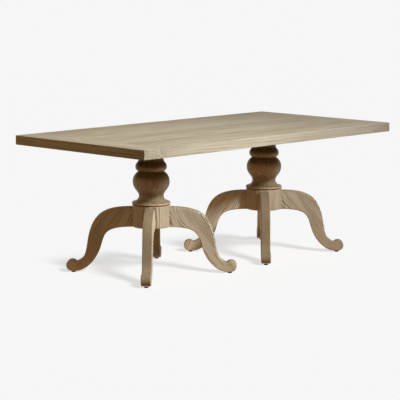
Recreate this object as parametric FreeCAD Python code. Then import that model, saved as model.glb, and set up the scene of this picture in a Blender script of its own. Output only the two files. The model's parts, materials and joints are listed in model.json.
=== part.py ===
import FreeCAD, Part
import math
import os

# A double pedestal dining table in solid oak, in millimetres, with +Z up.
# X runs along the table and Y across it, with the front at -Y.
# The origin is on the floor, below the middle of the top.
# A leg and all that belongs to it is made pointing along +X from its pedestal's axis, then turned.

Vector = FreeCAD.Vector
centre = Vector(0, 0, 0)
up = Vector(0, 0, 1)

# Whole table
top_length = 1981.0
top_width = 1016.0
table_height = 762.0
pedestal_spacing = 915.0
left_turn_angle = -2.5  # of each pedestal about its axis, as the photographed table stands
right_turn_angle = -0.7

# Fits
glue_gap = 0.1  # round a dowel, tongue or spline
hardware_gap = 0.1  # round a fastener in its bore
drill_gap = 1.0  # round a rod or bolt that only passes through
swivel_gap = 0.3  # round a piece that turns by hand
overrun = 10.0  # how far a cut runs past the face that it opens
touch = 0.001  # how near counts as lying on a plane

# Top: planks between two breadboard ends
top_thickness = 51.0
plank_count = 7
breadboard_width = 152.0
top_edge_round = 2.0
tongue_length = 40.0
tongue_thickness = 17.0
tongue_stop = 45.0  # from a long edge of the top to the end of the tongue
tongue_end_gap = 0.8  # room for the planks to lengthen
spline_width = 24.0
spline_thickness = 8.0
spline_stop = 60.0  # from a plank's end to its spline
peg_diameter = 10.0
peg_travel = 8.0  # slot that lets the planks widen past the outer pegs
peg_hold_share = 0.4  # of the groove's upper cheek

# Cleats under the top
cleat_setback = 140.0  # from a long edge of the top to the cleat's end
cleat_width = 170.0
cleat_thickness = 45.0
cleat_end_thickness = 22.0
cleat_flat_length = 300.0
cleat_round = 4.0

# Bolts that hold the top to the cleats
bolt_diameter = 8.0
bolt_head_flats = 13.0
bolt_head_height = 5.3
bolt_seat = 12.0  # wood between a washer and the top
bolt_edge = 32.0  # from a cleat's long edge to its bolts
bolt_travel = 8.0  # slot that lets the top widen over the cleats
bolt_reach_share = 0.85  # of the insert
bolt_washer_diameter = 22.0
bolt_washer_thickness = 1.6
top_insert_diameter = 12.0
top_insert_length = 20.0

# Columns: turned profile, heights as shares of the column's length
flange_diameter = 213.0
waist_diameter = 136.4
urn_diameter = 203.3
groove_diameter = 139.0
bead_diameter = 172.6
neck_diameter = 137.6
flange_round = 10.0
flange_crown_share = 0.92  # of the flange's round, from the hub to the widest point
waist_height_share = 0.171
urn_height_share = 0.456
groove_height_share = 0.637
bead_height_share = 0.727
neck_height_share = 0.865
cove_shares = (0.42, 0.056)  # handle along the flange's step, handle below the waist
urn_foot_shares = (0.0965, 0.163)  # handles above the waist and below the urn's widest point
urn_shoulder_shares = (0.076, 0.495, 0.0184)  # above the widest point, then out and down at the groove
bead_foot_shares = (0.446, 0.0281, 0.0563)  # out and up at the groove, then below the widest point
bead_top_shares = (0.0735, 0.0453)  # above the bead's widest point and below the neck

# Hubs
hub_diameter = 208.0
hub_bottom = 257.0  # above the floor
hub_shoulder = 11.0  # from the legs' tops to the hub's top
hub_round = 5.0
hub_roof = 45.0
hub_wall = 54.0  # between a leg and the cavity
housing_depth = 1.0  # of a leg's seat, at its shallowest
cover_thickness = 6.0
cover_lip_share = 0.5  # from the cavity's corner to the legs
screw_diameter = 4.0
screw_head_diameter = 8.0
screw_head_height = 3.0
screw_length = 20.0

# Dowels
leg_dowel_diameter = 12.0
leg_dowel_length = 60.0
leg_dowel_shares = (0.16, 0.84)  # of the leg's height at the hub
column_dowel_diameter = 12.0
column_dowel_length = 40.0

# Tie rods, from the hub's roof to the cleat
tie_rod_diameter = 16.0
tie_nut_flats = 24.0
tie_nut_height = 13.0
tie_washer_diameter = 36.0
tie_washer_thickness = 3.0
tie_end = 4.0  # rod past the nut
tie_headroom = 2.0  # between the rod and the top

# Hanger bolts that draw the legs to the hubs
hanger_diameter = 10.0
hanger_leg_depth = 75.0
hanger_height_share = 0.5  # of the leg's height at the hub
hanger_nut_flats = 16.0
hanger_nut_height = 8.0
hanger_washer_diameter = 24.0
hanger_washer_thickness = 2.5
hanger_end = 4.0  # bolt past the nut

# Legs: handles run as shares of the leg's span, its top height or the hub's height
leg_thickness = 54.0
leg_root_height = 110.0
leg_reach = 470.0  # from the pedestal's axis to the scroll's tip
leg_edge_round = 5.0
scroll_diameter = 63.0
scroll_notch_angle = 140.0
scroll_tip_angle = 25.0
knee_shoulder_share = 0.404
knee_reach_share = 0.654
knee_height_share = 0.6035
knee_rise_share = 0.3095
knee_fall_share = 0.24
knee_lean_share = 0.2456
instep_reach_share = 0.676
instep_height_share = 0.226
shin_shoulder_share = 0.445
shin_reach_share = 0.4976
shin_height_share = 0.517
shin_rise_share = 0.3288
shin_fall_share = 0.2405
shin_lean_share = 0.33
sole_reach_share = 0.7056

# Levelling glides
glide_inset = 7.0  # from the scroll's centre in towards the pedestal
pad_diameter = 24.0
pad_top_diameter = 21.0
pad_floor = 1.4
pad_roof = 1.2
stem_head_diameter = 11.0
stem_head_height = 1.8
stem_neck_diameter = 6.0
stem_diameter = 8.0
stem_length = 32.0  # above the collar
collar_flats = 13.0
collar_height = 3.0
foot_insert_diameter = 12.0
foot_insert_length = 22.0

# Levels and reaches that follow from the sizes above
pad_height = pad_floor + stem_head_height + 2 * swivel_gap + pad_roof
collar_top = pad_height + swivel_gap + collar_height
foot_lift = collar_top + swivel_gap
leg_top = hub_bottom + leg_root_height
hub_top = leg_top + hub_shoulder
roof_underside = hub_top - hub_roof
top_underside = table_height - top_thickness
cleat_underside = top_underside - cleat_thickness
column_length = cleat_underside - hub_top
tongue_middle = (table_height + top_underside) / 2
plank_width = top_width / plank_count
plank_length = top_length - 2 * breadboard_width
tie_seat = top_underside - tie_headroom - tie_end - tie_nut_height - tie_washer_thickness
hub_flat = math.sqrt((hub_diameter / 2) ** 2 - (leg_thickness / 2) ** 2) - housing_depth
cavity_half = hub_flat - hub_wall
cavity_corner = cavity_half * math.sqrt(2)
cover_radius = cavity_corner + (hub_flat - cavity_corner) * cover_lip_share
scroll_reach = leg_reach - scroll_diameter / 2
scroll_height = foot_lift + scroll_diameter / 2
glide_reach = scroll_reach - glide_inset
hanger_height = hub_bottom + leg_root_height * hanger_height_share
tie_bore_diameter = tie_rod_diameter + 2 * drill_gap
column_dowel_reach = (tie_bore_diameter + neck_diameter) / 4
bolt_row = cleat_width / 2 - bolt_edge
bolted_planks = sorted({1, 2, plank_count - 3, plank_count - 2})
pegged_planks = sorted({1, plank_count // 2, plank_count - 2})

sides = {"left": -1, "right": 1}
pedestal_angles = {"left": left_turn_angle, "right": right_turn_angle}
# The legs of the left pedestal stand a quarter turn apart, in this order. The right one mirrors them.
leg_corners = ("front_outer", "front_inner", "back_inner", "back_outer")
first_leg_angle = 225
quarter_angle = 90


def block(x_low, x_high, y_low, y_high, z_low, z_high):
    corner = Vector(x_low, y_low, z_low)
    return Part.makeBox(x_high - x_low, y_high - y_low, z_high - z_low, corner)


def post(diameter, x, y, z_low, z_high):
    return Part.makeCylinder(diameter / 2, z_high - z_low, Vector(x, y, z_low))


def ring(outer, inner, x, y, z_low, z_high):
    return post(outer, x, y, z_low, z_high).cut(post(inner, x, y, z_low - overrun, z_high + overrun))


def slot(diameter, travel, x, y, z_low, z_high):
    """An upright hole that is drawn out along Y."""
    half = travel / 2
    middle = block(x - diameter / 2, x + diameter / 2, y - half, y + half, z_low, z_high)
    ends = [post(diameter, x, y + end * half, z_low, z_high) for end in (-1, 1)]
    return middle.multiFuse(ends).removeSplitter()


def hexagon(across_flats, x, y, z_low, z_high):
    radius = across_flats / math.sqrt(3)
    corners = []
    for corner in range(7):
        turn = 2 * math.pi * corner / 6
        corners.append(Vector(x + radius * math.cos(turn), y + radius * math.sin(turn), z_low))
    return Part.Face(Part.makePolygon(corners)).extrude(up * (z_high - z_low))


def nut(across_flats, bore, x, y, z_low, z_high):
    hole = post(bore, x, y, z_low - overrun, z_high + overrun)
    return hexagon(across_flats, x, y, z_low, z_high).cut(hole)


def line(start, end):
    return Part.LineSegment(start, end).toShape()


def arc(start, middle, end):
    return Part.Arc(start, middle, end).toShape()


def bezier(*poles):
    curve = Part.BezierCurve()
    curve.setPoles(list(poles))
    return curve.toShape()


def moved(shape, x=0, y=0, z=0):
    copy = shape.copy()
    copy.translate(Vector(x, y, z))
    return copy


def turned(shape, angle):
    copy = shape.copy()
    copy.rotate(centre, up, angle)
    return copy


def laid_outward(shape, height):
    """Turn a piece that stands along Z to lie along +X, at a height."""
    copy = shape.copy()
    copy.rotate(centre, Vector(0, 1, 0), 90)
    copy.translate(up * height)
    return copy


def at_quarters(shapes, first_angle):
    """Copies of the shapes at four quarter turns about the pedestal's axis."""
    turns = [first_angle + quarter_angle * quarter for quarter in range(4)]
    return [turned(shape, turn) for turn in turns for shape in shapes]


def leg_places():
    """The name, pedestal side and turn of each of the eight legs."""
    for side, sign in sides.items():
        for quarter, corner in enumerate(leg_corners):
            turn = first_leg_angle + quarter_angle * quarter
            yield side + "_" + corner, side, turn if sign < 0 else 2 * quarter_angle - turn


def at_pedestal(shape, side):
    return moved(turned(shape, pedestal_angles[side]), x=sides[side] * pedestal_spacing / 2)


def at_leg(shape, side, turn):
    return at_pedestal(turned(shape, turn), side)


def at_every_leg(shapes):
    placed = [at_leg(shape, side, turn) for name, side, turn in leg_places() for shape in shapes]
    return Part.makeCompound(placed)


def at_both_pedestals(shapes):
    return Part.makeCompound([at_pedestal(shape, side) for side in sides for shape in shapes])


def plank_centre(index):
    return (index + 0.5) * plank_width - top_width / 2


def rounded_slab():
    """The whole top with its edges eased, which the planks and ends are parts of."""
    half_length = top_length / 2
    half_width = top_width / 2
    slab = block(-half_length, half_length, -half_width, half_width, top_underside, table_height)
    return slab.makeFillet(top_edge_round, slab.Edges)


def tongue(gap, end_gap):
    """The stub tongue across both ends of the planks, or its groove when a gap is given."""
    half_length = plank_length / 2 + tongue_length + end_gap
    half_width = top_width / 2 - tongue_stop + gap
    half_height = tongue_thickness / 2 + gap
    return block(-half_length, half_length, -half_width, half_width,
                 tongue_middle - half_height, tongue_middle + half_height)


def peg_top():
    tongue_top = tongue_middle + tongue_thickness / 2
    return tongue_top + (table_height - tongue_top) * peg_hold_share


def peg_places():
    """Where the pegs stand: X, Y and whether the tongue is slotted there."""
    for sign in sides.values():
        for index in pegged_planks:
            x = sign * (plank_length + tongue_length) / 2
            yield x, plank_centre(index), index != plank_count // 2


def breadboard_pegs():
    pegs = [post(peg_diameter, x, y, top_underside, peg_top()) for x, y, slotted in peg_places()]
    return Part.makeCompound(pegs)


def spline(joint, gap):
    """The loose spline between plank joint - 1 and plank joint, or its groove when a gap is given."""
    y = joint * plank_width - top_width / 2
    half_length = plank_length / 2 - spline_stop + gap
    half_width = spline_width / 2 + gap
    half_height = spline_thickness / 2 + gap
    return block(-half_length, half_length, y - half_width, y + half_width,
                 tongue_middle - half_height, tongue_middle + half_height)


def plank_splines():
    return Part.makeCompound([spline(joint, 0) for joint in range(1, plank_count)])


def top_bolt_places():
    """Where the bolts stand: X, Y and the plank that each one holds."""
    for sign in sides.values():
        for row in (-1, 1):
            for index in bolted_planks:
                yield sign * pedestal_spacing / 2 + row * bolt_row, plank_centre(index), index


def plank(index, slab):
    low = index * plank_width - top_width / 2
    high = low + plank_width
    strip = block(-plank_length / 2, plank_length / 2, low, high, top_underside, table_height)
    reach = plank_length / 2 + tongue_length + overrun
    tongue_strip = block(-reach, reach, low, high, top_underside, table_height)
    board = slab.common(strip).fuse(tongue(0, 0).common(tongue_strip)).removeSplitter()
    cuts = [spline(joint, glue_gap) for joint in (index, index + 1) if 0 < joint < plank_count]
    for x, y, slotted in peg_places():
        if y == plank_centre(index):
            bore = peg_diameter + 2 * glue_gap
            cuts.append(slot(bore, peg_travel, x, y, top_underside, table_height) if slotted
                        else post(bore, x, y, top_underside, table_height))
    for x, y, held in top_bolt_places():
        if held == index:
            bore = top_insert_diameter + 2 * hardware_gap
            bore_end = top_underside + top_insert_length + hardware_gap
            cuts.append(post(bore, x, y, top_underside - overrun, bore_end))
    return board.cut(cuts)


def breadboard(sign, slab):
    joint = plank_length / 2
    end = top_length / 2 + overrun
    low, high = sorted((sign * joint, sign * end))
    board = slab.common(block(low, high, -top_width, top_width, top_underside, table_height))
    cuts = [tongue(glue_gap, tongue_end_gap)]
    bore = peg_diameter + 2 * glue_gap
    for x, y, slotted in peg_places():
        cuts.append(post(bore, x, y, top_underside - overrun, peg_top() + glue_gap))
    return board.cut(cuts)


def cleat(side):
    """A bearer across the table, thick over the column and thinner at its ends."""
    half_length = top_width / 2 - cleat_setback
    half_flat = cleat_flat_length / 2
    end_underside = top_underside - cleat_end_thickness
    outline = [
        (-half_length, top_underside),
        (half_length, top_underside),
        (half_length, end_underside),
        (half_flat, cleat_underside),
        (-half_flat, cleat_underside),
        (-half_length, end_underside),
        (-half_length, top_underside),
    ]
    wire = Part.makePolygon([Vector(-cleat_width / 2, y, z) for y, z in outline])
    bearer = Part.Face(wire).extrude(Vector(cleat_width, 0, 0))
    lower_edges = [edge for edge in bearer.Edges if edge.BoundBox.ZMin < top_underside - touch]
    bearer = bearer.makeFillet(cleat_round, lower_edges)
    seat = top_underside - bolt_seat
    shank = bolt_diameter + 2 * drill_gap
    washer = bolt_washer_diameter + 2 * drill_gap
    cuts = [post(tie_bore_diameter, 0, 0, cleat_underside - overrun, top_underside),
            post(tie_washer_diameter + 2 * drill_gap, 0, 0, tie_seat, top_underside + overrun)]
    for x in (-bolt_row, bolt_row):
        for index in bolted_planks:
            y = plank_centre(index)
            cuts.append(slot(shank, bolt_travel, x, y, seat - overrun, top_underside + overrun))
            cuts.append(slot(washer, bolt_travel, x, y, cleat_underside - overrun, seat))
    cuts += [turned(hole, pedestal_angles[side]) for hole in column_dowels(cleat_underside, glue_gap)]
    return moved(bearer.cut(cuts), x=sides[side] * pedestal_spacing / 2)


def top_bolts():
    bolts = []
    head_top = top_underside - bolt_seat - bolt_washer_thickness
    shank_top = top_underside + top_insert_length * bolt_reach_share
    for x, y, index in top_bolt_places():
        head = hexagon(bolt_head_flats, x, y, head_top - bolt_head_height, head_top)
        bolts.append(head.fuse(post(bolt_diameter, x, y, head_top, shank_top)))
    return Part.makeCompound(bolts)


def top_washers():
    seat = top_underside - bolt_seat
    bore = bolt_diameter + 2 * hardware_gap
    washers = [ring(bolt_washer_diameter, bore, x, y, seat - bolt_washer_thickness, seat)
               for x, y, index in top_bolt_places()]
    return Part.makeCompound(washers)


def top_inserts():
    bore = bolt_diameter + 2 * hardware_gap
    high = top_underside + top_insert_length
    inserts = [ring(top_insert_diameter, bore, x, y, top_underside, high)
               for x, y, index in top_bolt_places()]
    return Part.makeCompound(inserts)


def column_dowels(joint_height, gap):
    """The two dowels across one end of a column, or their holes when a gap is given."""
    half = column_dowel_length / 2 + gap
    diameter = column_dowel_diameter + 2 * gap
    reaches = (-column_dowel_reach, column_dowel_reach)
    return [post(diameter, reach, 0, joint_height - half, joint_height + half) for reach in reaches]


def column():
    """The turned column: flange, cove, urn, groove, bead and neck, bored for the tie rod."""
    def at(radius, height):
        return Vector(radius, 0, hub_top + height)

    def rise(share):
        return column_length * share

    bore = tie_bore_diameter / 2
    flange = flange_diameter / 2
    flange_core = flange - flange_round
    waist = waist_diameter / 2
    urn = urn_diameter / 2
    groove = groove_diameter / 2
    bead = bead_diameter / 2
    neck = neck_diameter / 2
    crown = flange_round * flange_crown_share
    flange_foot = flange_core + math.sqrt(flange_round ** 2 - crown ** 2)
    flange_top = crown + flange_round
    waist_height = rise(waist_height_share)
    urn_height = rise(urn_height_share)
    groove_height = rise(groove_height_share)
    bead_height = rise(bead_height_share)
    neck_height = rise(neck_height_share)
    step = (flange_core - waist) * cove_shares[0]
    shoulder = (urn - groove) * urn_shoulder_shares[1]
    bulge = (bead - groove) * bead_foot_shares[0]
    edges = [
        line(at(bore, 0), at(flange_foot, 0)),
        arc(at(flange_foot, 0), at(flange, crown), at(flange_core, flange_top)),
        bezier(at(flange_core, flange_top), at(flange_core - step, flange_top),
               at(waist, waist_height - rise(cove_shares[1])), at(waist, waist_height)),
        bezier(at(waist, waist_height), at(waist, waist_height + rise(urn_foot_shares[0])),
               at(urn, urn_height - rise(urn_foot_shares[1])), at(urn, urn_height)),
        bezier(at(urn, urn_height), at(urn, urn_height + rise(urn_shoulder_shares[0])),
               at(groove + shoulder, groove_height - rise(urn_shoulder_shares[2])),
               at(groove, groove_height)),
        bezier(at(groove, groove_height), at(groove + bulge, groove_height + rise(bead_foot_shares[1])),
               at(bead, bead_height - rise(bead_foot_shares[2])), at(bead, bead_height)),
        bezier(at(bead, bead_height), at(bead, bead_height + rise(bead_top_shares[0])),
               at(neck, neck_height - rise(bead_top_shares[1])), at(neck, neck_height)),
        line(at(neck, neck_height), at(neck, column_length)),
        line(at(neck, column_length), at(bore, column_length)),
        line(at(bore, column_length), at(bore, 0)),
    ]
    turning = Part.Face(Part.Wire(edges)).revolve(centre, up, 360)
    return turning.cut(column_dowels(hub_top, glue_gap) + column_dowels(cleat_underside, glue_gap))


def all_column_dowels():
    return at_both_pedestals(column_dowels(hub_top, 0) + column_dowels(cleat_underside, 0))


def cover_screw(gap):
    """A countersunk screw pointing up from the hub's underside, or its hole when a gap is given."""
    x = (cavity_corner + cover_radius) / 2
    head = Part.makeCone(screw_head_diameter / 2 + gap, screw_diameter / 2 + gap, screw_head_height,
                         Vector(x, 0, hub_bottom))
    shank_low = hub_bottom + screw_head_height
    return head.fuse(post(screw_diameter + 2 * gap, x, 0, shank_low, hub_bottom + screw_length + gap))


def hub():
    """The drum that takes four legs, hollowed from below for their bolts."""
    drum = post(hub_diameter, 0, 0, hub_bottom, hub_top)
    rims = [edge for edge in drum.Edges if edge.BoundBox.ZLength < touch]
    drum = drum.makeFillet(hub_round, rims)
    below = hub_bottom - overrun
    cavity = block(-cavity_half, cavity_half, -cavity_half, cavity_half, below, roof_underside)
    half = leg_thickness / 2 + glue_gap
    housing = block(hub_flat, hub_diameter, -half, half, below, leg_top + glue_gap)
    passage = post(hanger_diameter + 2 * drill_gap, 0, 0, cavity_half - overrun, hub_diameter)
    seat = [housing, laid_outward(passage, hanger_height)] + leg_dowels(glue_gap)
    cuts = [
        post(tie_bore_diameter, 0, 0, roof_underside - overrun, hub_top + overrun),
        post(2 * (cover_radius + glue_gap), 0, 0, below, hub_bottom + cover_thickness),
        turned(cavity, first_leg_angle),
    ]
    cuts += column_dowels(hub_top, glue_gap)
    cuts += at_quarters([cover_screw(hardware_gap)], 0)
    cuts += at_quarters(seat, first_leg_angle)
    return drum.cut(cuts)


def hub_cover():
    disc = post(2 * cover_radius, 0, 0, hub_bottom, hub_bottom + cover_thickness)
    return disc.cut(at_quarters([cover_screw(hardware_gap)], 0))


def cover_screws():
    return at_both_pedestals(at_quarters([cover_screw(0)], 0))


def tie_rod():
    low = roof_underside - tie_washer_thickness - tie_nut_height - tie_end
    high = tie_seat + tie_washer_thickness + tie_nut_height + tie_end
    return post(tie_rod_diameter, 0, 0, low, high)


def tie_rod_washers():
    bore = tie_rod_diameter + 2 * hardware_gap
    lower = ring(tie_washer_diameter, bore, 0, 0, roof_underside - tie_washer_thickness, roof_underside)
    upper = ring(tie_washer_diameter, bore, 0, 0, tie_seat, tie_seat + tie_washer_thickness)
    return at_both_pedestals([lower, upper])


def tie_rod_nuts():
    bore = tie_rod_diameter + 2 * hardware_gap
    lower_top = roof_underside - tie_washer_thickness
    upper_bottom = tie_seat + tie_washer_thickness
    lower = nut(tie_nut_flats, bore, 0, 0, lower_top - tie_nut_height, lower_top)
    upper = nut(tie_nut_flats, bore, 0, 0, upper_bottom, upper_bottom + tie_nut_height)
    return at_both_pedestals([lower, upper])


def leg_dowels(gap):
    """The two dowels between a leg and its hub, or their holes when a gap is given."""
    half = leg_dowel_length / 2 + gap
    peg = post(leg_dowel_diameter + 2 * gap, 0, 0, hub_flat - half, hub_flat + half)
    return [laid_outward(peg, hub_bottom + leg_root_height * share) for share in leg_dowel_shares]


def hanger_bolt():
    low = cavity_half - hanger_washer_thickness - hanger_nut_height - hanger_end
    return laid_outward(post(hanger_diameter, 0, 0, low, hub_flat + hanger_leg_depth), hanger_height)


def hanger_washer():
    bore = hanger_diameter + 2 * hardware_gap
    low = cavity_half - hanger_washer_thickness
    return laid_outward(ring(hanger_washer_diameter, bore, 0, 0, low, cavity_half), hanger_height)


def hanger_nut():
    bore = hanger_diameter + 2 * hardware_gap
    high = cavity_half - hanger_washer_thickness
    low = high - hanger_nut_height
    return laid_outward(nut(hanger_nut_flats, bore, 0, 0, low, high), hanger_height)


def leg_outline():
    """The leg seen from its side: knee, instep, scroll, sole and shin, from the hub and back to it."""
    side = -leg_thickness / 2
    span = leg_reach - hub_flat

    def at(reach, height):
        return Vector(reach, side, height)

    def out(share):
        return hub_flat + span * share

    def on_scroll(angle):
        turn = math.radians(angle)
        radius = scroll_diameter / 2
        return at(scroll_reach + radius * math.cos(turn), scroll_height + radius * math.sin(turn))

    root_top = at(hub_flat, leg_top)
    root_bottom = at(hub_flat, hub_bottom)
    knee = at(out(knee_reach_share), leg_top * knee_height_share)
    knee_way = Vector(-knee_lean_share, 0, 1) * leg_top
    shin = at(out(shin_reach_share), hub_bottom * shin_height_share)
    shin_way = Vector(-shin_lean_share, 0, 1) * hub_bottom
    notch = on_scroll(scroll_notch_angle)
    scroll_foot = at(scroll_reach, foot_lift)
    heel = at(glide_reach - pad_diameter / 2, foot_lift)
    edges = [
        line(root_bottom, root_top),
        bezier(root_top, at(out(knee_shoulder_share), leg_top),
               knee + knee_way * knee_rise_share, knee),
        bezier(knee, knee - knee_way * knee_fall_share,
               at(out(instep_reach_share), leg_top * instep_height_share), notch),
        arc(notch, on_scroll(scroll_tip_angle), scroll_foot),
        line(scroll_foot, heel),
        bezier(heel, at(out(sole_reach_share), foot_lift), shin - shin_way * shin_fall_share, shin),
        bezier(shin, shin + shin_way * shin_rise_share,
               at(out(shin_shoulder_share), hub_bottom), root_bottom),
    ]
    return Part.Face(Part.Wire(edges))


def leg():
    """One leg with eased edges, drilled for its dowels, hanger bolt and leveller."""
    board = leg_outline().extrude(Vector(0, leg_thickness, 0))
    long_edges = [edge for edge in board.Edges
                  if edge.BoundBox.YLength < touch and edge.BoundBox.XMax > hub_flat + touch]
    board = board.makeFillet(leg_edge_round, long_edges)
    bolt_bore = hanger_diameter + 2 * hardware_gap
    bolt_end = hub_flat + hanger_leg_depth + hardware_gap
    bolt_hole = laid_outward(post(bolt_bore, 0, 0, hub_flat - overrun, bolt_end), hanger_height)
    insert_bore = foot_insert_diameter + 2 * hardware_gap
    insert_end = foot_lift + foot_insert_length + hardware_gap
    insert_hole = post(insert_bore, glide_reach, 0, foot_lift - overrun, insert_end)
    stem_end = collar_top + stem_length + drill_gap
    stem_hole = post(stem_diameter + 2 * drill_gap, glide_reach, 0, foot_lift, stem_end)
    return board.cut(leg_dowels(glue_gap) + [bolt_hole, insert_hole, stem_hole])


def foot_insert():
    bore = stem_diameter + 2 * hardware_gap
    return ring(foot_insert_diameter, bore, glide_reach, 0, foot_lift, foot_lift + foot_insert_length)


def leveller_pad():
    """The pad on the floor, with the cup that the stem's head turns in."""
    pad = Part.makeCone(pad_diameter / 2, pad_top_diameter / 2, pad_height, Vector(glide_reach, 0, 0))
    cup_top = pad_floor + stem_head_height + 2 * swivel_gap
    cup = post(stem_head_diameter + 2 * swivel_gap, glide_reach, 0, pad_floor, cup_top)
    mouth = post(stem_neck_diameter + 2 * swivel_gap, glide_reach, 0, pad_floor, pad_height + overrun)
    return pad.cut([cup, mouth])


def leveller_stem():
    """The screw: a head in the pad's cup, a neck, a hexagon collar and the shank in the foot."""
    head_low = pad_floor + swivel_gap
    collar_low = pad_height + swivel_gap
    head = post(stem_head_diameter, glide_reach, 0, head_low, head_low + stem_head_height)
    neck = post(stem_neck_diameter, glide_reach, 0, head_low + stem_head_height, collar_low)
    collar = hexagon(collar_flats, glide_reach, 0, collar_low, collar_top)
    shank = post(stem_diameter, glide_reach, 0, collar_top, collar_top + stem_length)
    return head.multiFuse([neck, collar, shank])


def make_top(pieces):
    slab = rounded_slab()
    for index in range(plank_count):
        pieces["plank_" + str(index + 1)] = plank(index, slab)
    for side, sign in sides.items():
        pieces["breadboard_" + side] = breadboard(sign, slab)
    pieces["plank_splines"] = plank_splines()
    pieces["breadboard_pegs"] = breadboard_pegs()
    pieces["top_bolts"] = top_bolts()
    pieces["top_washers"] = top_washers()
    pieces["top_inserts"] = top_inserts()


def make_pedestals(pieces):
    repeated = {"column": column(), "hub": hub(), "hub_cover": hub_cover(), "tie_rod": tie_rod()}
    for side in sides:
        pieces["cleat_" + side] = cleat(side)
        for piece, shape in repeated.items():
            pieces[piece + "_" + side] = at_pedestal(shape, side)
    pieces["column_dowels"] = all_column_dowels()
    pieces["cover_screws"] = cover_screws()
    pieces["tie_rod_nuts"] = tie_rod_nuts()
    pieces["tie_rod_washers"] = tie_rod_washers()


def make_legs(pieces):
    repeated = {"leg": leg(), "leveller_pad": leveller_pad(), "leveller_stem": leveller_stem()}
    for piece, shape in repeated.items():
        for place, side, turn in leg_places():
            pieces[piece + "_" + place] = at_leg(shape, side, turn)
    pieces["leg_dowels"] = at_every_leg(leg_dowels(0))
    pieces["hanger_bolts"] = at_every_leg([hanger_bolt()])
    pieces["hanger_washers"] = at_every_leg([hanger_washer()])
    pieces["hanger_nuts"] = at_every_leg([hanger_nut()])
    pieces["leveller_inserts"] = at_every_leg([foot_insert()])


pieces = {}
make_top(pieces)
make_pedestals(pieces)
make_legs(pieces)
os.makedirs("parts", exist_ok=True)
for name, shape in pieces.items():
    shape.exportStep(os.path.join("parts", name + ".step"))
    print(name, len(shape.Solids), "solids", round(shape.Volume), "mm3, valid", shape.isValid())
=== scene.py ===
import bpy
import json
import math
from mathutils import Matrix, Vector


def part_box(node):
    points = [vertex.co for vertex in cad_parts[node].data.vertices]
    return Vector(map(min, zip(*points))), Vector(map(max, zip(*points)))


# Looks of a double pedestal dining table in pale limed oak, in metres.
# X runs along the table, Y across it with the front at -Y, and the floor is at Z = 0.

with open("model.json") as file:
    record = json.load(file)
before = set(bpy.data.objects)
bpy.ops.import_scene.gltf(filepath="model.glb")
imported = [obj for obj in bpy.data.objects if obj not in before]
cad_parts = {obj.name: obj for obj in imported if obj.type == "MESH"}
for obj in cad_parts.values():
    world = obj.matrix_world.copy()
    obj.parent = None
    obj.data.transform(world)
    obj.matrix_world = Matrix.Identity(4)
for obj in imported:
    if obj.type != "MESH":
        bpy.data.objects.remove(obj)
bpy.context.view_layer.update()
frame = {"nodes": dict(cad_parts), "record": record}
nodes = frame["nodes"]
slot_of = {part["node"]: part["material_slot"] for part in frame["record"]["subparts"]}

LENGTHWISE = Vector((1.0, 0.0, 0.0))
CROSSWISE = Vector((0.0, 1.0, 0.0))
UPRIGHT = Vector((0.0, 0.0, 1.0))
LEVEL_PART = (1.0, 1.0, 0.0)  # leaves out the height of a vector that it multiplies

# Oak's colours, linear, with the tones at which they stand, and the dark colour that multiplies them where
# shade is painted on the columns
OAK_DARK = (0.243, 0.178, 0.110)
OAK_MIDDLE = (0.418, 0.352, 0.255)
OAK_LIGHT = (0.530, 0.476, 0.375)
OAK_PORE = (0.190, 0.130, 0.075)
DARK_TONE = 0.12
MIDDLE_TONE = 0.5
LIGHT_TONE = 0.88
PAINTED_SHADE_COLOUR = (0.50, 0.46, 0.32)

# Tints that multiply the oak of each kind of piece
TOP_TINT = (1.078, 1.196, 1.368)
COLUMN_TINT = (1.0, 0.985, 0.95)
HUB_TINT = (0.93, 0.95, 0.98)
LEG_TINT = (1.12, 1.22, 1.30)

# Oak's noises, in cells per metre along the grain and in both directions across it
NOISE_MEAN = 0.5
WANDER_CELLS = (1.4, 6.0, 6.0)
RIPPLE_CELLS = (11.0, 9.0, 9.0)
DRIFT_CELLS = (2.0, 11.0, 11.0)
CLEARNESS_CELLS = (4.0, 28.0, 28.0)
STREAK_CELLS = (2.0, 60.0, 60.0)
FIBRE_CELLS = (12.0, 500.0, 500.0)
PATCH_CELLS = (1.0, 4.0, 4.0)
PORE_CELLS = (38.0, 1100.0, 1100.0)
MOTTLE_CELLS = (110.0, 160.0, 160.0)

# Growth rings, whose value climbs from 0 in the early wood to 1 in the late wood
WANDER_REACH = (0.0, 0.030, 0.030)
DRIFT_PHASE = 14.0  # radians
RING_DETAIL = 2.0
RING_DETAIL_SCALE = 0.5
LATE_WOOD_EDGES = (0.30, 0.85)
EARLY_WOOD_EDGES = (0.55, 0.0)
CLEARNESS_EDGES = (0.3, 0.7)
CLEARNESS = (0.3, 1.4)

# What the other layers do to oak's tone, roughness and height
STREAK_SHARE = 0.55
FIBRE_SHARE = 0.22
PATCH_SHARE = 0.45
PORE_EDGES = (0.56, 0.68)
PORE_COLOUR_SHARE = 0.55
PORE_ROUGHNESS_SHARE = 0.4
OAK_ROUGHNESS_EDGES = (0.2, 1.0)
OAK_ROUGHNESS = (0.46, 0.66)
FIBRE_HEIGHT_SHARE = 0.35
OAK_BUMP = {"Strength": 0.35, "Distance": 0.0004}

# Differences between pieces: a number for each, one step past the last one's and wrapped at 1
SPREAD_STEP = 0.618034
SPREAD_START = 0.25

# Planks of the top, with their hearts below them
PLANK_WOOD = {"tint": TOP_TINT, "specular": 0.01}
PLANK_TONE = 0.5
PLANK_TONE_SPREAD = 0.09
PLANK_HEART_DEPTH = 0.09
PLANK_HEART_SPREAD = Vector((0.6, 0.05, 0.04))

# Breadboard ends and cleats, whose edges are darker than their faces
CROSS_WOOD = {"tint": TOP_TINT, "specular": 0.01, "end_grain": 0.13, "pale_facing": UPRIGHT}
CROSS_TONE = 0.53
CROSS_TONE_SPREAD = 0.04
CROSS_HEART_DEPTH = 0.08
CROSS_HEART_SPREAD = Vector((0.04, 0.3, 0.0))

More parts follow.
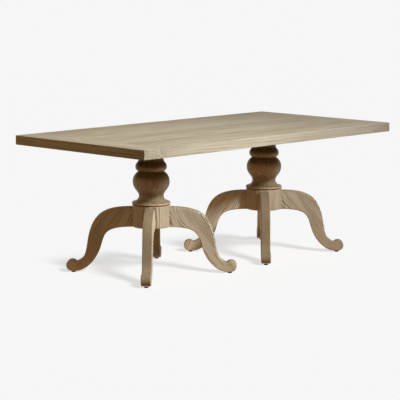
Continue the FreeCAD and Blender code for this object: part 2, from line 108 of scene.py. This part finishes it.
# Turned pieces of the pedestals, with their hearts beside them
TURNED_WOOD = {"ring_scale": 48.0, "waviness": 1.5, "polish": 0.7}
TURNED_WOODS = {
    "column": {"tone": 0.60, "rings": 0.18, "mottle": 1.8, "tint": COLUMN_TINT},
    "hub": {"tone": 0.62, "rings": 0.7, "mottle": 0.3, "tint": HUB_TINT},
    "hub_cover": {"tone": 0.5, "rings": 0.2, "mottle": 0.0, "tint": HUB_TINT},
}
TURNED_HEARTS = {"left": Vector((0.25, 0.20, 0.0)), "right": Vector((0.25, -0.20, 0.0))}

# Painted shade on a column, in bands under the table top, in its hollows and at the flange's joint, and
# darker towards its foot and head, with a painted highlight along the flange's lip. Bands are heights
# above its foot, where they start, are full from and to, and end.
FLANGE_JOINT_BAND = (-0.008, -0.006, 0.003, 0.008)
FLANGE_LIP_BAND = (0.0075, 0.010, 0.013, 0.0165)
WAIST_BAND = (0.013, 0.025, 0.062, 0.097)
URN_SHOULDER_BAND = (0.131, 0.170, 0.184, 0.190)
NECK_BAND = (0.199, 0.217, 0.322, 0.332)
PAINTED_SHADE_DEPTHS = ((FLANGE_JOINT_BAND, 0.9), (WAIST_BAND, 0.5), (URN_SHOULDER_BAND, 1.0), (NECK_BAND, 1.0))
FOOT_PAINTED_SHADE_EDGES = (0.012, 0.037)
HEAD_PAINTED_SHADE_EDGES = (0.162, 0.282)
END_PAINTED_SHADE = 0.38
FLANGE_LIP_PAINTED_HIGHLIGHT = 0.35

# Legs, whose sides are pale and whose curved faces are dark
LEG_WOOD = {"ring_scale": 50.0, "waviness": 2.5, "ripple": 0.028, "end_grain": 0.9, "tint": LEG_TINT}
LEG_FRONT_TONE = 0.62
# Back legs, which stand in shade, are paler than front ones: painted light.
LEG_BACK_TONE_WITH_PAINTED_LIGHT = 0.72
LEG_TONE_SPREAD = 0.06
LEG_RINGS = 1.15
LEG_RINGS_SPREAD = 0.35
LEG_GRAIN_FALL = 55.0  # degrees below level
LEG_HEART_TURN = 55.0  # degrees from the leg's own plane
LEG_HEART_REACH = 0.35
LEG_HEART_SPREAD = 0.05
LEG_GRAIN_STEP = 3.7  # along the grain, from one leg's wood to the next one's
HUB_JOINT_WIDTH = 0.031  # of the painted shade on the legs round a hub
HUB_JOINT_PAINTED_SHADE = 0.4

# Hardware, with noise in cells per metre
MARK_EDGES = (0.2, 0.8)
BEECH_CELLS = (350.0, 350.0, 350.0)
BEECH_DARK = (0.46, 0.31, 0.17)
BEECH_LIGHT = (0.62, 0.46, 0.28)
BEECH_ROUGHNESS = (0.5, 0.7)
METAL_CELLS = (300.0, 300.0, 2500.0)
METAL_BUMP = {"Strength": 0.15, "Distance": 0.0001}
ZINC_DARK = (0.46, 0.46, 0.47)
ZINC_LIGHT = (0.62, 0.62, 0.61)
ZINC_ROUGHNESS = (0.28, 0.45)
BRASS_DARK = (0.48, 0.33, 0.12)
BRASS_LIGHT = (0.62, 0.45, 0.19)
BRASS_ROUGHNESS = (0.25, 0.4)
NYLON_CELLS = (900.0, 900.0, 900.0)
NYLON_DARK = (0.012, 0.011, 0.010)
NYLON_LIGHT = (0.026, 0.024, 0.022)
NYLON_ROUGHNESS = (0.45, 0.65)
NYLON_BUMP = {"Strength": 0.3, "Distance": 0.0002}

# Softboxes, which light only the table: energy in watts, size of the square in metres
SOFTBOXES = {
    "key": {"place": (1.34, -5.72, 4.21), "aim": (-0.55, -0.20, 0.55), "energy": 33.0, "size": 0.5,
            "color": (1.0, 0.94, 0.86), "spread": math.radians(42.0)},
    "overhead": {"place": (0.0, -0.05, 4.00), "aim": (0.0, -0.05, 0.0), "energy": 27.0, "size": 0.9,
                 "color": (1.0, 0.85, 0.60)},
    "side": {"place": (-3.6, 2.2, 2.0), "aim": (-0.2, 0.0, 0.5), "energy": 36.0, "size": 1.5,
             "color": (1.0, 0.61, 0.28)},
    "fill": {"place": (-3.0, -3.0, 0.9), "aim": (-0.2, 0.0, 0.3), "energy": 10.0, "size": 1.5,
             "color": (1.0, 0.50, 0.19)},
    "back": {"place": (3.6, 4.2, 0.45), "aim": (0.0, 0.0, 0.4), "energy": 180.0, "size": 0.6,
             "color": (1.0, 0.87, 0.72)},
}
KEPT_FROM_KEY = "leg_left_back_"
SHADING_THE_FLOOR = ("leg_", "leveller_", "hub_")

# A small card low beside each column, which throws light up at it: energy in watts, size in metres
CARD_AWAY = Vector((0.946, -0.739, 0.0))  # from the column's axis
CARD_HEIGHT = 0.06
CARD = {"energy": 2.8, "size": 0.12, "color": (1.0, 0.93, 0.80)}

# Floor, its own light and the room
FLOOR_LIGHT = {"place": (-0.50, -3.10, 2.75), "aim": (-0.20, 0.0, 0.50), "energy": 5.1,
               "angle": math.radians(16.0)}
FLOOR_HALF = 80.0
FLOOR_GREY = (0.9, 0.9, 0.9)
FLOOR_GLOW = (0.944, 0.944, 0.944)
FLOOR_SHADE_SHARE = 0.27
FLOOR_BOUNCE = (0.44, 0.225, 0.085)
NO_BOUNCE = (0.0, 0.0, 0.0)
BOUNCE_EDGES = (0.6, 1.7)  # from the table's middle
BOUNCE_SHARES = (1.0, 0.06)
BACKGROUND = (0.922, 0.922, 0.922)
SKY = (1.0, 0.65, 0.35)
SKY_STRENGTH = 0.01

# Photograph's frame and camera, with angles in degrees
IMAGE_SIZE = 400
FOCAL_PIXELS = 1643.48
SENSOR_WIDTH = 36.0  # millimetres
CAMERA_AZIMUTH = -45.41
CAMERA_ELEVATION = 8.38
CAMERA_DISTANCE = 9.33828
AIM_HEIGHT = 0.381
AIM_RIGHT = -0.05394
AIM_UP = -0.02608


class Graph:
    """A node tree whose nodes are made by calls that take sockets or plain values."""

    def __init__(self, tree):
        self.tree = tree

    def node(self, kind, inputs=(), **settings):
        made = self.tree.nodes.new(kind)
        for name, value in settings.items():
            setattr(made, name, value)
        for key, value in dict(inputs).items():
            self.feed(made.inputs[key], value)
        return made

    def feed(self, socket, value):
        if isinstance(value, bpy.types.NodeSocket):
            self.tree.links.new(value, socket)
        else:
            socket.default_value = value

    def math(self, operation, *values):
        inputs = dict(enumerate(values))
        return self.node("ShaderNodeMath", inputs, operation=operation).outputs[0]

    def vector_math(self, operation, *values):
        inputs = dict(enumerate(values))
        return self.node("ShaderNodeVectorMath", inputs, operation=operation).outputs[0]

    def measure(self, operation, *vectors):
        """A number worked out from vectors, such as a length."""
        inputs = dict(enumerate(vectors))
        return self.node("ShaderNodeVectorMath", inputs, operation=operation).outputs["Value"]

    def noise(self, place, cells, detail=2.0, roughness=0.5):
        """Noise with so many cells per metre on each axis."""
        stretched = self.vector_math("MULTIPLY", place, cells)
        inputs = {"Vector": stretched, "Scale": 1.0, "Detail": detail, "Roughness": roughness}
        return self.node("ShaderNodeTexNoise", inputs)

    def number_noise(self, place, cells, **settings):
        return self.noise(place, cells, **settings).outputs["Fac"]

    def vector_noise(self, place, cells, **settings):
        """A vector of noise about zero."""
        noise = self.noise(place, cells, **settings).outputs["Color"]
        return self.vector_math("SUBTRACT", noise, (NOISE_MEAN,) * 3)

    def ramp(self, factor, low, high, out_low=0.0, out_high=1.0):
        inputs = {0: factor, 1: low, 2: high, 3: out_low, 4: out_high}
        return self.node("ShaderNodeMapRange", inputs, interpolation_type="SMOOTHSTEP").outputs[0]

    def band(self, factor, start, full_from, full_to, end):
        """1 inside a band and 0 outside it."""
        rise = self.ramp(factor, start, full_from)
        return self.math("MULTIPLY", rise, self.ramp(factor, full_to, end, 1.0, 0.0))

    def mix_colour(self, factor, first, second, blend="MIX"):
        made = self.node("ShaderNodeMix", data_type="RGBA", blend_type=blend)
        for name, value in (("Factor_Float", factor), ("A_Color", first), ("B_Color", second)):
            socket = next(s for s in made.inputs if s.identifier == name)
            self.feed(socket, value)
        return next(s for s in made.outputs if s.identifier == "Result_Color")

    def place(self):
        """A point of the piece, in the row frame at rest."""
        return self.node("ShaderNodeTexCoord").outputs["Object"]

    def height(self, place):
        return self.node("ShaderNodeSeparateXYZ", {0: place}).outputs["Z"]

    def bump(self, height, settings):
        return self.node("ShaderNodeBump", {**settings, "Height": height}).outputs["Normal"]


def rgba(colour):
    return (*colour, 1.0)


def new_material(name):
    material = bpy.data.materials.new(name)
    material.use_nodes = True
    graph = Graph(material.node_tree)
    shader = material.node_tree.nodes["Principled BSDF"]
    return material, graph, shader


def oak_group():
    """Oak's colour, roughness and height at a place in grain coordinates, where X is along the grain."""
    tree = bpy.data.node_groups.new("oak", "ShaderNodeTree")
    tree.interface.new_socket("Grain", in_out="INPUT", socket_type="NodeSocketVector")
    for name in ("Tone", "Rings", "Ring Scale", "Waviness", "Ripple", "Mottle"):
        tree.interface.new_socket(name, in_out="INPUT", socket_type="NodeSocketFloat")
    tree.interface.new_socket("Tint", in_out="INPUT", socket_type="NodeSocketColor")
    tree.interface.new_socket("Color", in_out="OUTPUT", socket_type="NodeSocketColor")
    tree.interface.new_socket("Roughness", in_out="OUTPUT", socket_type="NodeSocketFloat")
    tree.interface.new_socket("Height", in_out="OUTPUT", socket_type="NodeSocketFloat")
    graph = Graph(tree)
    given = graph.node("NodeGroupInput").outputs
    grain = given["Grain"]

    wander = graph.vector_math("MULTIPLY", graph.vector_noise(grain, WANDER_CELLS), WANDER_REACH)
    waves = graph.vector_noise(grain, RIPPLE_CELLS, detail=1.5)
    ripple = graph.node("ShaderNodeVectorMath", {0: waves, "Scale": given["Ripple"]}, operation="SCALE")
    wandered = graph.vector_math("ADD", grain, wander)
    place = graph.vector_math("ADD", wandered, ripple.outputs[0])

    drift = graph.number_noise(grain, DRIFT_CELLS, detail=1.0)
    rings = graph.node("ShaderNodeTexWave",
                       {"Vector": place, "Scale": given["Ring Scale"], "Distortion": given["Waviness"],
                        "Detail": RING_DETAIL, "Detail Scale": RING_DETAIL_SCALE,
                        "Phase Offset": graph.math("MULTIPLY", drift, DRIFT_PHASE)},
                       wave_type="RINGS", rings_direction="X", wave_profile="SAW").outputs["Fac"]
    clearness = graph.ramp(graph.number_noise(grain, CLEARNESS_CELLS), *CLEARNESS_EDGES, *CLEARNESS)
    late_wood = graph.math("MULTIPLY", graph.ramp(rings, *LATE_WOOD_EDGES), clearness)
    early_wood = graph.ramp(rings, *EARLY_WOOD_EDGES)
    streaks = graph.number_noise(place, STREAK_CELLS, detail=3.0, roughness=0.55)
    fibres = graph.number_noise(place, FIBRE_CELLS)
    patches = graph.number_noise(grain, PATCH_CELLS)
    specks = graph.number_noise(place, PORE_CELLS, detail=1.0)
    pores = graph.math("MULTIPLY", graph.ramp(specks, *PORE_EDGES), early_wood)
    mottle = graph.number_noise(grain, MOTTLE_CELLS)

    tone = given["Tone"]
    layers = ((late_wood, graph.math("MULTIPLY", given["Rings"], -1.0)), (streaks, STREAK_SHARE),
              (fibres, FIBRE_SHARE), (patches, PATCH_SHARE), (mottle, given["Mottle"]))
    for layer, share in layers:
        change = graph.math("MULTIPLY", graph.math("SUBTRACT", layer, NOISE_MEAN), share)
        tone = graph.math("ADD", tone, change)
    colours = graph.node("ShaderNodeValToRGB", {"Fac": tone})
    stops = colours.color_ramp.elements
    stops[0].position = DARK_TONE
    stops[0].color = rgba(OAK_DARK)
    stops[1].position = LIGHT_TONE
    stops[1].color = rgba(OAK_LIGHT)
    stops.new(MIDDLE_TONE).color = rgba(OAK_MIDDLE)
    tinted = graph.mix_colour(1.0, colours.outputs["Color"], given["Tint"], "MULTIPLY")
    colour = graph.mix_colour(graph.math("MULTIPLY", pores, PORE_COLOUR_SHARE), tinted, rgba(OAK_PORE))

    rough = graph.math("ADD", streaks, graph.math("MULTIPLY", pores, PORE_ROUGHNESS_SHARE))
    raised = graph.math("MULTIPLY", fibres, FIBRE_HEIGHT_SHARE)

    out = graph.node("NodeGroupOutput")
    graph.feed(out.inputs["Color"], colour)
    graph.feed(out.inputs["Roughness"], graph.ramp(rough, *OAK_ROUGHNESS_EDGES, *OAK_ROUGHNESS))
    graph.feed(out.inputs["Height"], graph.math("SUBTRACT", raised, pores))
    return tree


OAK = oak_group()


def oak_material(name, along, across, heart, tone, tint, rings=0.22, ring_scale=26.0, waviness=0.6,
                 mottle=0.0, ripple=0.004, end_grain=0.12, pale_facing=None, shade=None, glaze=None,
                 polish=1.0, specular=0.12):
    """Oak with its grain along one direction, whose rings run round the point heart of the row frame.

    Faces that look along the grain are darker by end_grain, or, where pale_facing is given, those that
    look away from it. Where given, two functions of a graph and a place paint light onto the wood: painted
    shade and a painted highlight that move its tone, and painted shade that multiplies its colour.
    """
    along = along.normalized()
    across = (across - along * along.dot(across)).normalized()
    turn = Matrix((along, across, along.cross(across)))
    material, graph, shader = new_material(name)
    coordinates = graph.node("ShaderNodeTexCoord").outputs
    place = coordinates["Object"]
    grain = graph.node("ShaderNodeMapping", {"Vector": place, "Rotation": turn.to_euler("XYZ"),
                                             "Location": -(turn @ heart)})

    axis = along if pale_facing is None else pale_facing
    facing = graph.measure("DOT_PRODUCT", coordinates["Normal"], axis)
    dark_share = graph.math("POWER", facing, 2.0)
    if pale_facing is not None:
        dark_share = graph.math("SUBTRACT", 1.0, dark_share)
    darkening = graph.math("MULTIPLY", dark_share, end_grain)
    # Painted shade, and a painted highlight, move the tone.
    if shade is not None:
        darkening = graph.math("ADD", darkening, shade(graph, place))

    oak = graph.node("ShaderNodeGroup", node_tree=OAK)
    settings = {"Grain": grain.outputs["Vector"], "Tone": graph.math("SUBTRACT", tone, darkening),
                "Rings": rings, "Ring Scale": ring_scale, "Waviness": waviness, "Ripple": ripple,
                "Mottle": mottle, "Tint": rgba(tint)}
    for socket, value in settings.items():
        graph.feed(oak.inputs[socket], value)
    colour = oak.outputs["Color"]
    # Painted shade multiplies the colour.
    if glaze is not None:
        colour = graph.mix_colour(glaze(graph, place), colour, rgba(PAINTED_SHADE_COLOUR), "MULTIPLY")
    graph.feed(shader.inputs["Base Color"], colour)
    graph.feed(shader.inputs["Roughness"], graph.math("MULTIPLY", oak.outputs["Roughness"], polish))
    graph.feed(shader.inputs["Normal"], graph.bump(oak.outputs["Height"], OAK_BUMP))
    shader.inputs["Specular IOR Level"].default_value = specular
    return material


def centre_of(node):
    low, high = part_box(node)
    return (low + high) / 2


def dress(node, material):
    slots = nodes[node].data.materials
    slots.clear()
    slots.append(material)


def spread(index, draw=0):
    """A number from -1 to 1 that differs from piece to piece. Another draw gives a piece another one."""
    return 2 * (((index + draw) * SPREAD_STEP + SPREAD_START) % 1.0) - 1


def dress_planks():
    planks = sorted(name for name in nodes if name.startswith("plank_") and name != "plank_splines")
    for index, name in enumerate(planks):
        away = Vector((spread(index, draw=3), spread(index), -spread(index, draw=5)))
        heart = centre_of(name) - UPRIGHT * PLANK_HEART_DEPTH + away * PLANK_HEART_SPREAD
        tone = PLANK_TONE + PLANK_TONE_SPREAD * spread(index, draw=2)
        dress(name, oak_material("oak_" + name, LENGTHWISE, CROSSWISE, heart, tone, **PLANK_WOOD))


def dress_cross_pieces():
    for index, name in enumerate(("breadboard_left", "breadboard_right", "cleat_left", "cleat_right")):
        away = Vector((spread(index), spread(index, draw=2), 0.0))
        heart = centre_of(name) - UPRIGHT * CROSS_HEART_DEPTH + away * CROSS_HEART_SPREAD
        tone = CROSS_TONE + CROSS_TONE_SPREAD * spread(index, draw=3)
        dress(name, oak_material("oak_" + name, CROSSWISE, LENGTHWISE, heart, tone, **CROSS_WOOD))


def column_shade(foot):
    """Painted shade at a column's foot and towards its head, and a painted highlight along the lip of its
    flange.
    """
    def shade(graph, place):
        height = graph.math("SUBTRACT", graph.height(place), foot)
        at_foot = graph.ramp(height, *FOOT_PAINTED_SHADE_EDGES, END_PAINTED_SHADE, 0.0)
        at_head = graph.ramp(height, *HEAD_PAINTED_SHADE_EDGES, 0.0, END_PAINTED_SHADE)
        # A pale band along the flange's lip is a painted highlight.
        lip_highlight = graph.math("MULTIPLY", graph.band(height, *FLANGE_LIP_BAND), FLANGE_LIP_PAINTED_HIGHLIGHT)
        return graph.math("SUBTRACT", graph.math("ADD", at_foot, at_head), lip_highlight)
    return shade


def column_glaze(foot):
    """Painted shade in bands round a column: under the table top, in its hollows and at the flange's
    joint.
    """
    def glaze(graph, place):
        height = graph.math("SUBTRACT", graph.height(place), foot)
        total = 0.0
        for band, depth in PAINTED_SHADE_DEPTHS:
            total = graph.math("ADD", total, graph.math("MULTIPLY", graph.band(height, *band), depth))
        return total
    return glaze


def dress_pedestals():
    for side, away in TURNED_HEARTS.items():
        for piece, wood in TURNED_WOODS.items():
            name = piece + "_" + side
            finish = {**TURNED_WOOD, **wood}
            if piece == "column":
                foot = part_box(name)[0].z
                finish.update(shade=column_shade(foot), glaze=column_glaze(foot))
            heart = centre_of(name) + away
            dress(name, oak_material("oak_" + name, UPRIGHT, LENGTHWISE, heart, **finish))


def hub_joint_shade(hub):
    """Painted shade on the legs close round a hub, where they meet it."""
    low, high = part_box(hub)
    radius = (high.x - low.x) / 2

    def shade(graph, place):
        away = graph.vector_math("SUBTRACT", place, centre_of(hub))
        reach = graph.measure("LENGTH", graph.vector_math("MULTIPLY", away, LEVEL_PART))
        return graph.ramp(reach, radius, radius + HUB_JOINT_WIDTH, HUB_JOINT_PAINTED_SHADE, 0.0)
    return shade


def dress_legs():
    """Each leg's grain falls outward in its own plane."""
    fall = math.radians(LEG_GRAIN_FALL)
    turn = math.radians(LEG_HEART_TURN)
    for index, name in enumerate(sorted(n for n in nodes if n.startswith("leg_") and n != "leg_dowels")):
        hub = "hub_left" if "_left_" in name else "hub_right"
        middle = centre_of(name)
        outward = middle - centre_of(hub)
        outward.z = 0.0
        outward.normalize()
        along = outward * math.cos(fall) - UPRIGHT * math.sin(fall)
        across = outward * math.sin(fall) + UPRIGHT * math.cos(fall)
        sideways = outward.cross(UPRIGHT)
        from_heart = across * math.cos(turn) + sideways * math.sin(turn)
        heart = middle - from_heart * (LEG_HEART_REACH + LEG_HEART_SPREAD * spread(index))
        heart += along * LEG_GRAIN_STEP * index
        # The back legs' paler tone is painted light on legs that stand in shade.
        tone = LEG_BACK_TONE_WITH_PAINTED_LIGHT if "_back_" in name else LEG_FRONT_TONE
        tone += LEG_TONE_SPREAD * spread(index, draw=12)
        rings = LEG_RINGS + LEG_RINGS_SPREAD * spread(index, draw=12)
        dress(name, oak_material("oak_" + name, along, across, heart, tone, rings=rings,
                                 pale_facing=sideways, shade=hub_joint_shade(hub), **LEG_WOOD))


def beech():
    """Beech of the dowels, pegs and splines."""
    material, graph, shader = new_material("dowel_wood")
    flecks = graph.number_noise(graph.place(), BEECH_CELLS, detail=3.0)
    graph.feed(shader.inputs["Base Color"], graph.mix_colour(flecks, rgba(BEECH_DARK), rgba(BEECH_LIGHT)))
    graph.feed(shader.inputs["Roughness"], graph.ramp(flecks, *MARK_EDGES, *BEECH_ROUGHNESS))
    return material


def metal(name, dark, light, roughness):
    """Plated or turned metal with fine tool marks."""
    material, graph, shader = new_material(name)
    marks = graph.number_noise(graph.place(), METAL_CELLS)
    graph.feed(shader.inputs["Base Color"], graph.mix_colour(marks, rgba(dark), rgba(light)))
    graph.feed(shader.inputs["Roughness"], graph.ramp(marks, *MARK_EDGES, *roughness))
    graph.feed(shader.inputs["Normal"], graph.bump(marks, METAL_BUMP))
    shader.inputs["Metallic"].default_value = 1.0
    return material


def nylon():
    """Black moulded nylon of the glides' pads."""
    material, graph, shader = new_material("pad_nylon")
    grains = graph.number_noise(graph.place(), NYLON_CELLS, detail=3.0)
    graph.feed(shader.inputs["Base Color"], graph.mix_colour(grains, rgba(NYLON_DARK), rgba(NYLON_LIGHT)))
    graph.feed(shader.inputs["Roughness"], graph.ramp(grains, *MARK_EDGES, *NYLON_ROUGHNESS))
    graph.feed(shader.inputs["Normal"], graph.bump(grains, NYLON_BUMP))
    return material


def dress_hardware():
    finishes = {
        "dowel_wood": beech(),
        "steel": metal("zinc_steel", ZINC_DARK, ZINC_LIGHT, ZINC_ROUGHNESS),
        "brass": metal("brass", BRASS_DARK, BRASS_LIGHT, BRASS_ROUGHNESS),
        "pad_nylon": nylon(),
    }
    for name in nodes:
        if slot_of[name] in finishes:
            dress(name, finishes[slot_of[name]])


def background_ray(graph):
    """1 for rays that show the background: straight from the camera, mirrored or through glass."""
    path = graph.node("ShaderNodeLightPath").outputs
    seen = graph.math("MAXIMUM", path["Is Camera Ray"], path["Is Glossy Ray"])
    return graph.math("MAXIMUM", seen, path["Is Transmission Ray"])


def make_floor():
    """A pale floor that shows as the photograph's background and throws warm light back at the table."""
    mesh = bpy.data.meshes.new("floor")
    corners = [(x * FLOOR_HALF, y * FLOOR_HALF, 0.0) for x, y in ((-1, -1), (1, -1), (1, 1), (-1, 1))]
    mesh.from_pydata(corners, [], [(0, 1, 2, 3)])
    floor = bpy.data.objects.new("floor", mesh)
    bpy.context.scene.collection.objects.link(floor)
    material, graph, shader = new_material("floor")
    graph.tree.nodes.remove(shader)
    shaded = graph.node("ShaderNodeBsdfDiffuse", {"Color": rgba(FLOOR_GREY)}).outputs[0]
    glow = graph.node("ShaderNodeEmission", {"Color": rgba(FLOOR_GLOW), "Strength": 1.0}).outputs[0]
    shown = graph.node("ShaderNodeMixShader", {0: FLOOR_SHADE_SHARE, 1: glow, 2: shaded}).outputs[0]
    reach = graph.measure("LENGTH", graph.place())
    pool = graph.ramp(reach, *BOUNCE_EDGES, *BOUNCE_SHARES)
    pool_colour = graph.mix_colour(pool, rgba(NO_BOUNCE), rgba(FLOOR_BOUNCE))
    bounce = graph.node("ShaderNodeBsdfDiffuse", {"Color": pool_colour}).outputs[0]
    surface = graph.node("ShaderNodeMixShader", {0: background_ray(graph), 1: bounce, 2: shown}).outputs[0]
    graph.feed(graph.tree.nodes["Material Output"].inputs["Surface"], surface)
    mesh.materials.append(material)
    return floor


def make_world():
    world = bpy.data.worlds.new("studio")
    bpy.context.scene.world = world
    world.use_nodes = True
    graph = Graph(world.node_tree)
    world.node_tree.nodes.clear()
    sky = graph.node("ShaderNodeBackground", {"Color": rgba(SKY), "Strength": SKY_STRENGTH}).outputs[0]
    shown = graph.node("ShaderNodeBackground", {"Color": rgba(BACKGROUND), "Strength": 1.0}).outputs[0]
    mixed = graph.node("ShaderNodeMixShader", {0: background_ray(graph), 1: sky, 2: shown}).outputs[0]
    out = graph.node("ShaderNodeOutputWorld")
    graph.feed(out.inputs["Surface"], mixed)


def lamp(name, kind, place, aim, **settings):
    data = bpy.data.lights.new(name, kind)
    for key, value in settings.items():
        setattr(data, key, value)
    made = bpy.data.objects.new(name, data)
    made.location = place
    made.rotation_euler = (Vector(aim) - Vector(place)).to_track_quat("-Z", "Y").to_euler()
    bpy.context.scene.collection.objects.link(made)
    return made


def collect(name, objects):
    made = bpy.data.collections.new(name)
    for thing in objects:
        made.objects.link(thing)
    return made


def make_softboxes():
    """The key is flagged off some legs. The back one, for views from behind, isn't mirrored."""
    softboxes = {name: lamp(name, "AREA", **settings) for name, settings in SOFTBOXES.items()}
    softboxes["back"].visible_glossy = False
    table = collect("lit_by_softboxes", nodes.values())
    for softbox in softboxes.values():
        softbox.light_linking.receiver_collection = table
    lit_by_key = [thing for name, thing in nodes.items() if not name.startswith(KEPT_FROM_KEY)]
    softboxes["key"].light_linking.receiver_collection = collect("lit_by_key", lit_by_key)


def make_cards():
    """Each card stands beside a column and lights nothing else."""
    for name in ("column_left", "column_right"):
        middle = centre_of(name)
        place = middle + CARD_AWAY
        place.z = CARD_HEIGHT
        card = lamp("card_of_" + name, "AREA", place, middle, **CARD)
        card.light_linking.receiver_collection = collect("lit_by_card_of_" + name, [nodes[name]])


def make_floor_light(floor):
    """An even light on the floor alone, which only the pedestals' lower pieces shade."""
    even = lamp("even_floor_light", "SUN", **FLOOR_LIGHT)
    even.light_linking.receiver_collection = collect("lit_evenly", [floor])
    shading = [thing for name, thing in nodes.items() if name.startswith(SHADING_THE_FLOOR)]
    even.light_linking.blocker_collection = collect("shading_the_floor", shading)


def make_camera():
    azimuth = math.radians(CAMERA_AZIMUTH)
    elevation = math.radians(CAMERA_ELEVATION)
    back = Vector((math.sin(azimuth) * math.cos(elevation), -math.cos(azimuth) * math.cos(elevation),
                   math.sin(elevation)))
    right = Vector((math.cos(azimuth), math.sin(azimuth), 0.0))
    up = back.cross(right)
    data = bpy.data.cameras.new("camera")
    data.sensor_width = SENSOR_WIDTH
    data.lens = SENSOR_WIDTH * FOCAL_PIXELS / IMAGE_SIZE
    camera = bpy.data.objects.new("camera", data)
    aim = UPRIGHT * AIM_HEIGHT + right * AIM_RIGHT + up * AIM_UP
    camera.location = aim + back * CAMERA_DISTANCE
    camera.rotation_euler = (-back).to_track_quat("-Z", "Y").to_euler()
    bpy.context.scene.collection.objects.link(camera)
    bpy.context.scene.camera = camera


dress_planks()
dress_cross_pieces()
dress_pedestals()
dress_legs()
dress_hardware()
make_world()
floor = make_floor()
make_softboxes()
make_cards()
make_floor_light(floor)
make_camera()
bpy.context.scene.view_settings.view_transform = "Standard"
